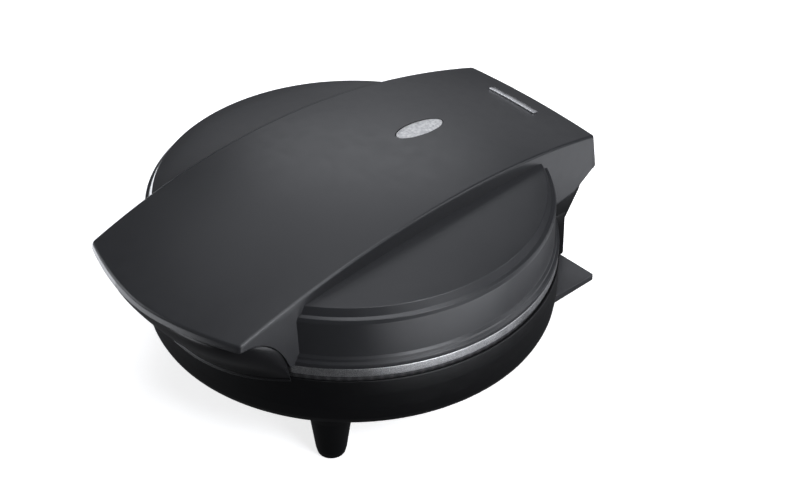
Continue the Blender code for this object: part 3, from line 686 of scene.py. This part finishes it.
def chin(plastic):
    """Base's half of the handle, flared from the base wall, with a fine rib along its lower edge."""
    power, radius = 2.0 / 2.8, BASE_RADIUS + 0.0001
    root = math.sqrt(radius ** 2 - CHIN_HALF_WIDTH ** 2)
    points, levels = 72, 16
    rib = ((0.0004, 0.0000), (0.0007, 0.0003), (0.0007, 0.0006), (0.0002, 0.0011))
    bm = bmesh.new()
    rings = []
    for k in range(points + 1):
        cosine = math.cos(math.pi * k / points)
        sine = math.sin(math.pi * k / points) if 0 < k < points else 0.0
        x = CHIN_HALF_WIDTH * math.copysign(abs(cosine) ** power, cosine)
        out = root + (CHIN_FRONT - root) * sine ** power
        wall = math.sqrt(radius ** 2 - x ** 2)
        seam = 0.0470 + 0.0070 * (x / CHIN_HALF_WIDTH) ** 2
        crest = handle_split(-out) - CHIN_GAP
        column = [bm.verts.new((x, -wall, seam))]
        column += [bm.verts.new((x, -wall - proud, seam + rise)) for proud, rise in rib]
        start = seam + 0.0013
        for n in range(levels + 1):
            f = n / levels
            flare = 0.5 * f * f * (3.0 - 2.0 * f) + 0.5 * f * (2.0 - f)
            height = start + (crest - 0.0010 - start) * f
            column.append(bm.verts.new((x, -wall - (out - wall) * flare, height)))
        tuck = min(0.0012, 0.4 * (out - wall))
        column.append(bm.verts.new((x, -out + tuck * 0.3, crest - 0.0003)))
        column.append(bm.verts.new((x, -out + tuck, crest)))
        for part in (0.35, 0.7, 1.0):
            y = -out + tuck + (out - tuck - wall) * part
            column.append(bm.verts.new((x, y, handle_split(y) - CHIN_GAP)))
        column.append(bm.verts.new((x, -wall, 0.5 * (column[-1].co.z + seam))))
        rings.append(column)
    for first, second in zip(rings, rings[1:]):
        ring_faces(bm, first, second)
    bm.faces.new(rings[0])
    bm.faces.new(rings[-1][::-1])
    bmesh.ops.remove_doubles(bm, verts=bm.verts, dist=1e-6)
    finish("chin_skin", bm, plastic, "base", "base_plastic", "lower_handle", sharp=50.0)


def feet(plastic):
    """Tapered feet with a rounded tip."""
    for corner in ("front_right", "front_left", "rear_left", "rear_right"):
        centre = plan_centre(*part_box("foot_" + corner))
        top = BASE_BOTTOM - 0.0001
        profile = [(0.0, 0.0, 0), (0.0064, 0.0, 0.0020), (0.0074, 0.0040, 0.003), (0.0101, 0.0235, 0.006),
                   (0.0112, top, 0), (0.0, top, 0)]
        finish("foot_skin_" + corner, turned(rounded(profile), SMALL_STEPS, centre), plastic, "base",
               "base_plastic", "foot_" + corner, sharp=50.0)


def hinge_parts(plastic, lid_plastic):
    """Block and ears on the base, lugs on the lid."""
    hy, hz = HINGE[1], HINGE[2]
    low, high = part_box("hinge_block")
    front, back, foot = HINGE_BLOCK_FRONT, HINGE_BLOCK_BACK, low.z
    outline = [(front, foot)] + arc(back - 0.0015, foot + 0.0015, 0.0015, -90, 0, 4)
    outline += arc(back - 0.0012, 0.0458, 0.0012, 0, 90, 4) + [(front, 0.0470)]
    body = solid_object("hinge_block_skin", sideways_prism(outline, low.x, high.x, 0.0008))
    knuckle = [(0.0930, 0.0420), (back, 0.0420)] + arc(hy, hz, 0.0090, -30, 180, 28)
    for inner, outer in mirrored(EAR_SPAN):
        combine(body, solid_object("ear", sideways_prism(knuckle, inner, outer, 0.0006)), "UNION")
    under, beyond = BASE_BOTTOM - 0.0002, BASE_RADIUS + 0.0002
    space = turned([(0.0, under), (beyond, under), (beyond, 0.0580), (0.0, 0.0580)])
    combine(body, solid_object("space", space), "DIFFERENCE")
    plan = [(-0.05, 0.080), (0.05, 0.080), (0.05, 0.1015), (-0.05, 0.1015)]
    groove = bevelled_prism(plan, 0.010, BASE_BOTTOM, 0.0001, 1)
    combine(body, solid_object("groove", groove), "DIFFERENCE")
    bore = turned([(0.0, 0.0), (0.0062, 0.0), (0.0062, 0.02), (0.0, 0.02)], 40)
    combine(body, solid_object("bore", turn_to_y(bore, 0.095)), "DIFFERENCE")
    dress(body, plastic, "base", "base_plastic", "hinge_block")
    lug = arc(hy, hz, 0.0075, -180, 0, 20) + [(0.1175, 0.0893), (0.1025, 0.0933)]
    for name, (inner, outer) in zip(("lug_right", "lug_left"), mirrored(LUG_SPAN)):
        finish(name, sideways_prism(lug, inner, outer, 0.0005), lid_plastic, "lid", "lid_plastic")


def gland(rubber):
    """Flanged ring that lines the cord's way out of the hinge block."""
    profile = [(0.0040, 0.0, 0), (0.0060, 0.0, 0), (0.0060, 0.0057, 0), (0.0080, 0.0057, 0.0005),
               (0.0080, 0.0080, 0.0012), (0.0040, 0.0080, 0.0008)]
    ring = turn_to_y(turned(rounded(profile), 48), 0.1031)
    finish("gland_ring", ring, rubber, "base", "gland_rubber", "cord_gland")


def winder(plastic):
    """Plate that the cord winds round, with rounded corners, on a core under the base."""
    low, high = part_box("cord_winder")
    corner, fillet = 0.0012, 0.004
    half = [(0.0, high.y)] + arc(high.x - corner, high.y - corner, corner, 90, 0, 5) + [(high.x, 0.0790)]
    half += arc(high.x - fillet, 0.0790, fillet, 0, -90, 6) + [(0.0460, 0.0750)]
    half += arc(0.0460, 0.0710, fillet, 90, 180, 6) + arc(0.0380, 0.0660, fillet, 0, -90, 6) + [(0.0, low.y)]
    outline = half + [(-x, y) for x, y in half[-2:0:-1]]
    body = solid_object("winder_skin", bevelled_prism(outline, low.z, 0.0205, 0.0005))
    core = arc(0.038, 0.085, 0.007, -90, 90, 16) + arc(-0.038, 0.085, 0.007, 90, 270, 16)
    post = bevelled_prism(core, 0.0180, BASE_BOTTOM - 0.0001, 0.0003)
    combine(body, solid_object("core", post), "UNION")
    dress(body, plastic, "base", "base_plastic", "cord_winder")


# Plates and screws.

def mould_centres():
    turns = [math.radians(30.0 + 60.0 * k) for k in range(6)]
    return [(0.0, 0.0)] + [(MOULD_PITCH * math.cos(a), MOULD_PITCH * math.sin(a)) for a in turns]


def ring_mould_cutter(face, way):
    """Seven ring grooves, each with a rounded lip where it meets the plate's face."""
    half, depth, lip_size = 0.0092, 0.0095, 0.0008
    groove = []
    for k in range(15):
        a = math.pi + math.pi * k / 14.0
        reach = lip_size + (depth - lip_size) * math.sin(a)
        groove.append((MOULD_RADIUS + half * math.cos(a), face - way * reach))
    outer_lip = []
    for a in [math.radians(15.0 * k) for k in range(1, 7)]:
        radius = MOULD_RADIUS + half + lip_size * (1 - math.cos(a))
        outer_lip.append((radius, face + way * lip_size * (1 - math.sin(a))))
    inner_lip = [(2 * MOULD_RADIUS - r, z) for r, z in outer_lip[::-1]]
    wide, beyond = half + lip_size, face - way * 0.004
    section = inner_lip + groove + outer_lip + [(MOULD_RADIUS + wide, beyond), (MOULD_RADIUS - wide, beyond)]
    bm = bmesh.new()
    for centre in mould_centres():
        turned(section, SMALL_STEPS, centre, bm)
    return solid_object("rings", bm)


def plate(name, node, face, way, profile, metal, body):
    """Cast plate with seven pods on its back, and ring moulds cut into its face; way is +1 for up."""
    piece = solid_object(name, turned(rounded(profile), 128))
    pods = bmesh.new()
    low, high = sorted((face + way * 0.002, face + way * POD_DEPTH))
    for centre in mould_centres():
        turned([(0.0, low), (POD_RADIUS, low), (POD_RADIUS, high), (0.0, high)], SMALL_STEPS, centre, pods)
    combine(piece, solid_object("pods", pods), "UNION")
    combine(piece, ring_mould_cutter(face, way), "DIFFERENCE")
    dress(piece, metal, body, "coated_plate", node, sharp=30.0)
    smooth = piece.modifiers.new("flat_faces_first", "WEIGHTED_NORMAL")
    smooth.keep_sharp = True


def plates(metal):
    radius = LOWER_PLATE_RADIUS
    lower = [(0.0, LOWER_FACE, 0), (radius, LOWER_FACE, 0.0006), (radius, 0.0543, 0.0003),
             (0.0955, 0.0543, 0), (0.0950, 0.0538, 0), (0.0, 0.0538, 0)]
    plate("lower_plate_cast", "lower_plate", LOWER_FACE, -1.0, lower, metal, "base")
    radius, top = UPPER_PLATE_RADIUS, LID_BOTTOM - 0.0003
    upper = [(0.0, UPPER_FACE, 0), (radius, UPPER_FACE, 0.0006), (radius, top, 0.0005), (0.0950, top, 0),
             (0.0946, 0.0655, 0), (0.0915, 0.0655, 0), (0.0905, top, 0), (0.0, top, 0)]
    plate("upper_plate_cast", "upper_plate", UPPER_FACE, 1.0, upper, metal, "lid")


def screw_heads(metal):
    """Pan heads with a cross recess, in place of the screws that show from below."""
    crown, head, shank, height = 0.0024, 0.0032, 0.0016, 0.0016
    slot_length, slot_width = 0.0030, 0.0008
    for name in ("lower_screw_1", "lower_screw_2", "lower_screw_3", "winder_screw_1", "winder_screw_2"):
        low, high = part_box(name)
        centre = plan_centre(low, high)
        under = low.z + height
        profile = [(0.0, low.z, 0), (crown, low.z, 0.001), (head, low.z + 0.0009, 0.0004), (head, under, 0),
                   (shank, under, 0), (shank, high.z, 0), (0.0, high.z, 0)]
        piece = solid_object(name + "_head", turned(rounded(profile), 40, centre))
        for size in ((slot_length, slot_width), (slot_width, slot_length)):
            cut = bmesh.new()
            place = Matrix.Translation((*centre, low.z)) @ Matrix.Diagonal((*size, 0.0016, 1))
            bmesh.ops.create_cube(cut, size=1.0, matrix=place)
            combine(piece, solid_object("slot", cut), "DIFFERENCE")
        dress(piece, metal, "base", "steel", name)


def carried_over(materials):
    """CAD nodes that keep their shape get a finished material."""
    slots = {row["node"]: row["material_slot"] for row in frame["record"]["subparts"]}
    for node, item in NODES.items():
        if not item.hide_render:
            item.data.materials.clear()
            item.data.materials.append(materials[slots[node]])


def build():
    charcoal = moulded_plastic("satin_charcoal", (0.0195, 0.0200, 0.0220), (0.0225, 0.0230, 0.0250),
                               rough=(0.31, 0.36), specular=0.5)
    black = moulded_plastic("satin_black", (0.0025, 0.0025, 0.0030), (0.0035, 0.0035, 0.0040),
                            rough=(0.34, 0.40), specular=0.32)
    handle_black = moulded_plastic("satin_handle", (0.006, 0.006, 0.007), (0.008, 0.008, 0.009),
                                   rough=(0.30, 0.35), specular=0.5)
    winder_grey = moulded_plastic("textured_grey", (0.026, 0.026, 0.028), (0.064, 0.064, 0.067),
                                  rough=(0.42, 0.50), specular=0.4, grain=900.0, depth=0.00006)
    metal = coated_metal("coated_aluminium")
    steel = plain_metal("plain_steel", (0.42, 0.42, 0.43), (0.58, 0.58, 0.58), 0.32)
    bright = plain_metal("bright_sheet", (0.62, 0.62, 0.64), (0.78, 0.78, 0.79), 0.26)
    lens = frosted_lens("frosted_lens")
    rubber = mineral("gland_rubber", (0.014, 0.014, 0.014), (0.022, 0.022, 0.022), 0.62, 200.0)
    lid_band(charcoal)
    drum(charcoal)
    base_pan(black)
    chin(handle_black)
    plates(metal)
    feet(black)
    handle_liner(black)
    lamp_window(lens)
    trim_strip(bright)
    hinge_parts(black, charcoal)
    gland(rubber)
    winder(winder_grey)
    screw_heads(steel)
    carried_over({
        "lid_plastic": charcoal,
        "base_plastic": black,
        "coated_plate": metal,
        "steel": steel,
        "bright_sheet": bright,
        "trim": bright,
        "lamp_lens": lens,
        "gland_rubber": rubber,
        "ceramic": mineral("steatite", (0.66, 0.62, 0.55), (0.78, 0.75, 0.69), 0.55, 400.0),
        "lead_sleeve": mineral("glass_sleeve", (0.50, 0.48, 0.42), (0.70, 0.68, 0.62), 0.75, 900.0),
        "red_lamp": mineral("red_lamp", (0.42, 0.02, 0.015), (0.52, 0.03, 0.02), 0.28, 300.0),
        "green_lamp": mineral("green_lamp", (0.02, 0.30, 0.05), (0.03, 0.38, 0.07), 0.28, 300.0),
    })


# Floor, light and camera.

FLOOR_SIZE = 6.0              # half width of the floor
LIGHT_COLOUR = (0.93, 0.95, 1.0)
LIGHT_AIM = (0.0, 0.0, 0.06)
PANEL_DISTANCE = 0.44
PANEL_SIZE = (0.50, 0.26)
CAMERA_AZIMUTH = 47.21        # degrees from the front, towards the right
CAMERA_ELEVATION = 36.49
CAMERA_DISTANCE = 1.157
CAMERA_AIM = (0.0161, 0.0174, 0.0563)
CAMERA_LENS = 107.59          # millimetres, with the sensor's width below
CAMERA_SENSOR = 36.0

SOFTBOXES = (                 # name, azimuth, elevation, distance, size, power
    ("top_box", 60.0, 80.0, 1.6, (1.0, 1.0), 11.0),
    ("behind_box", 137.0, 34.0, 1.6, (0.7, 0.5), 2.0),
    ("behind_high_box", 150.0, 52.0, 1.6, (0.9, 0.6), 1.5),
    ("behind_low_box", 126.0, 16.0, 1.6, (0.8, 0.4), 0.5),
    ("right_high_box", 0.0, 36.0, 1.8, (0.8, 0.6), 18.0),
    ("right_low_box", 10.0, 8.0, 1.8, (0.9, 0.5), 1.6),
    ("rear_right_box", 50.0, 25.0, 1.8, (0.9, 0.9), 6.0),
    ("left_box", 215.0, 20.0, 1.8, (1.0, 1.0), 8.5),
)
FLOOR_PANELS = (              # azimuth, power
    (0.0, 1.25),
    (45.0, 0.55),
    (180.0, 1.4),
    (210.0, 0.9),
    (240.0, 1.0),
)


def floor():
    """Pale floor, which neither shows in the gloss nor lights the object from below."""
    bm = bmesh.new()
    bmesh.ops.create_grid(bm, x_segments=1, y_segments=1, size=FLOOR_SIZE)
    mesh = bpy.data.meshes.new("floor")
    bm.to_mesh(mesh)
    bm.free()
    made = bpy.data.objects.new("floor", mesh)
    bpy.context.scene.collection.objects.link(made)
    pale, _, shader = shader_nodes("floor")
    shader.inputs["Base Color"].default_value = (0.86, 0.86, 0.86, 1.0)
    shader.inputs["Roughness"].default_value = 0.8
    shader.inputs["Emission Color"].default_value = (1.0, 1.0, 1.0, 1.0)
    shader.inputs["Emission Strength"].default_value = 0.75
    mesh.materials.append(pale)
    made.visible_glossy = False
    made.visible_diffuse = False


def soft_light(name, size, power):
    data = bpy.data.lights.new(name, "AREA")
    data.shape = "RECTANGLE"
    data.size, data.size_y = size
    data.energy = power
    data.color = LIGHT_COLOUR
    lamp = bpy.data.objects.new(name, data)
    bpy.context.scene.collection.objects.link(lamp)
    return lamp


def softbox(name, azimuth, elevation, distance, size, power):
    """Softbox that looks at the object from an azimuth (0 is +X, 90 is +Y) and elevation."""
    a, e = math.radians(azimuth), math.radians(elevation)
    way = Vector((math.cos(a) * math.cos(e), math.sin(a) * math.cos(e), math.sin(e)))
    lamp = soft_light(name, size, power)
    lamp.location = Vector(LIGHT_AIM) + way * distance
    lamp.rotation_euler = way.to_track_quat("Z", "Y").to_euler()


def floor_panel(name, azimuth, power):
    """Soft panel that lies on the floor and lights the object from below; the camera doesn't see it."""
    a = math.radians(azimuth)
    lamp = soft_light(name, PANEL_SIZE, power)
    lamp.location = (math.cos(a) * PANEL_DISTANCE, math.sin(a) * PANEL_DISTANCE, 0.003)
    lamp.rotation_euler = (math.pi, 0.0, a)
    lamp.visible_camera = False


def studio():
    world = bpy.data.worlds.new("studio")
    world.use_nodes = True
    background = world.node_tree.nodes["Background"]
    background.inputs["Color"].default_value = (*LIGHT_COLOUR, 1.0)
    background.inputs["Strength"].default_value = 0.075
    bpy.context.scene.world = world
    for box in SOFTBOXES:
        softbox(*box)
    for azimuth, power in FLOOR_PANELS:
        floor_panel(f"floor_panel_{azimuth:.0f}", azimuth, power)
    bpy.context.scene.view_settings.view_transform = "Standard"


def camera():
    azimuth, elevation = math.radians(CAMERA_AZIMUTH), math.radians(CAMERA_ELEVATION)
    back = Vector((math.sin(azimuth) * math.cos(elevation), -math.cos(azimuth) * math.cos(elevation),
                   math.sin(elevation)))
    data = bpy.data.cameras.new("camera")
    data.sensor_width = CAMERA_SENSOR
    data.lens = CAMERA_LENS
    made = bpy.data.objects.new("camera", data)
    made.location = Vector(CAMERA_AIM) + back * CAMERA_DISTANCE
    made.rotation_euler = back.to_track_quat("Z", "Y").to_euler()
    bpy.context.scene.collection.objects.link(made)
    bpy.context.scene.camera = made


build()
floor()
studio()
camera()
